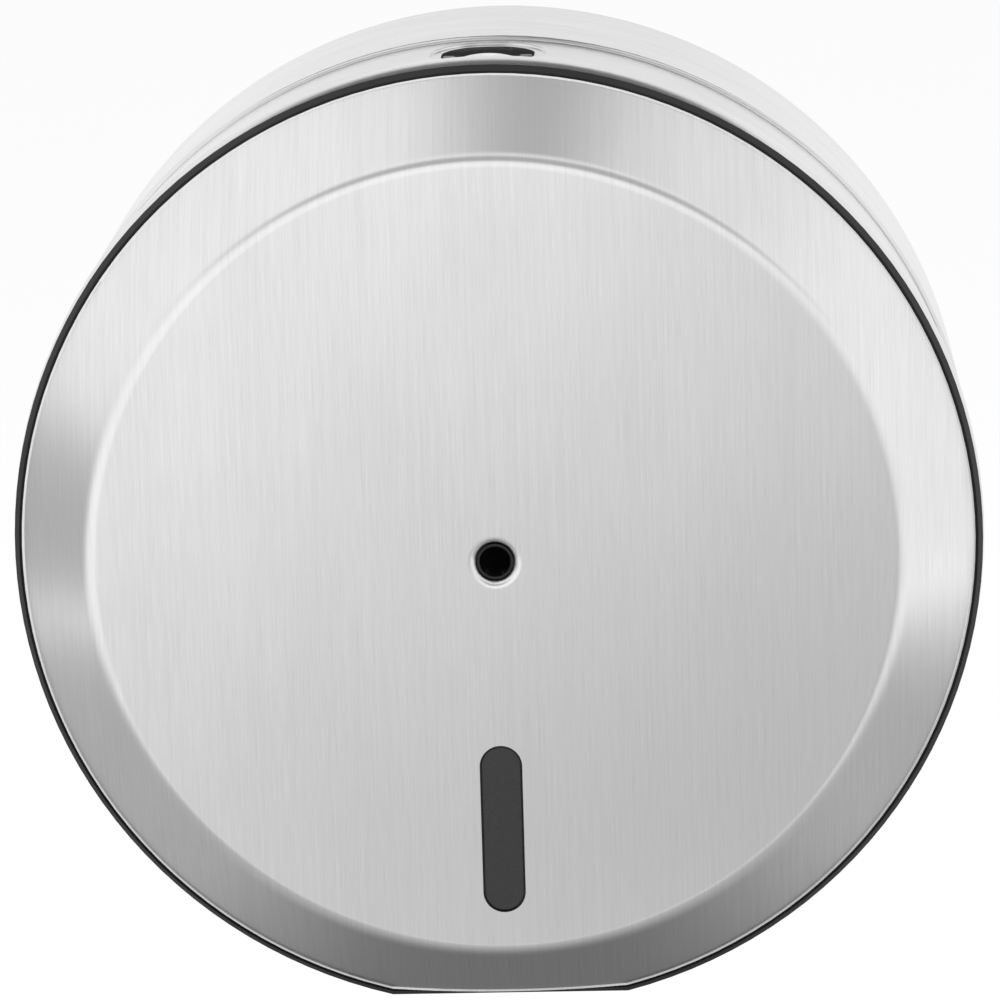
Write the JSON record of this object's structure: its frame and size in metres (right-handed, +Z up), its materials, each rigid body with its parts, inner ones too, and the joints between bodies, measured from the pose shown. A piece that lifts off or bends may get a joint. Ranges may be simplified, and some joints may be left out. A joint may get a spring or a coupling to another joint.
{
  "type": "centre pull toilet roll dispenser",
  "caption": "Round wall-mounted centre pull dispenser in brushed steel: a drum on the wall and a drop-down cover with paper nozzle, slot window and press-down release tab.",
  "frame": {"origin": "on the drum's axis, in the plane of its back, which lies on the wall", "axes": "+X to the right seen from the front, +Y into the wall, +Z up; the front faces -Y"},
  "size_m": [0.2706, 0.1393, 0.2711],
  "materials": {
    "plate_steel": "vertically brushed stainless steel",
    "body_steel": "stainless steel, brushed round the drum",
    "ring_plastic": "black moulded plastic, satin",
    "nozzle_plastic": "black moulded plastic, smooth",
    "lens_plastic": "smoked clear plastic",
    "gasket_rubber": "black soft rubber",
    "cradle_plastic": "grey moulded plastic",
    "latch_plastic": "dark moulded plastic",
    "tab_steel": "bright pressed steel",
    "zinc_steel": "zinc plated steel",
    "spring_steel": "drawn spring wire",
    "hinge_steel": "stainless steel, rolled and pressed",
    "rivet_metal": "plain aluminium"
  },
  "bodies": {
    "base": {"rear_housing": "body_steel", "roll_cradle": "cradle_plastic", "cradle_studs": "zinc_steel", "cradle_washers": "zinc_steel", "cradle_nuts": "zinc_steel", "strike_plate": "zinc_steel", "hinge_leaf_rear": "hinge_steel", "rear_leaf_rivets": "rivet_metal", "hinge_pin": "hinge_steel"},
    "cover": {"front_plate": "plate_steel", "front_ring": "ring_plastic", "cover_band": "body_steel", "rim_studs": "zinc_steel", "rim_washers": "zinc_steel", "rim_nuts": "zinc_steel", "paper_nozzle": "nozzle_plastic", "nozzle_studs": "zinc_steel", "nozzle_push_nuts": "spring_steel", "window_gasket": "gasket_rubber", "window_lens": "lens_plastic", "window_studs": "zinc_steel", "window_push_nuts": "spring_steel", "latch_housing": "latch_plastic", "latch_floor": "latch_plastic", "latch_floor_screws": "zinc_steel", "latch_housing_studs": "zinc_steel", "latch_housing_washers": "zinc_steel", "latch_housing_nuts": "zinc_steel", "latch_spring_left": "spring_steel", "latch_spring_right": "spring_steel", "hinge_leaf_cover": "hinge_steel", "cover_leaf_rivets": "rivet_metal"},
    "latch": {"latch_slider": "latch_plastic", "release_tab": "tab_steel", "tab_rivets": "rivet_metal"}
  },
  "joints": [
    {"name": "cover_hinge", "type": "hinge", "parent": "base", "child": "cover", "pos_m": [0, -0.0666, -0.1333], "axis": [1, 0, 0], "range_deg": [0, 110]},
    {"name": "latch_press", "type": "slide", "parent": "cover", "child": "latch", "axis": [0, 0, -1], "range_m": [0, 0.005], "stiffness_N_per_m": 400, "springref_m": -0.004, "deforming": ["latch_spring_left", "latch_spring_right"]}
  ]
}
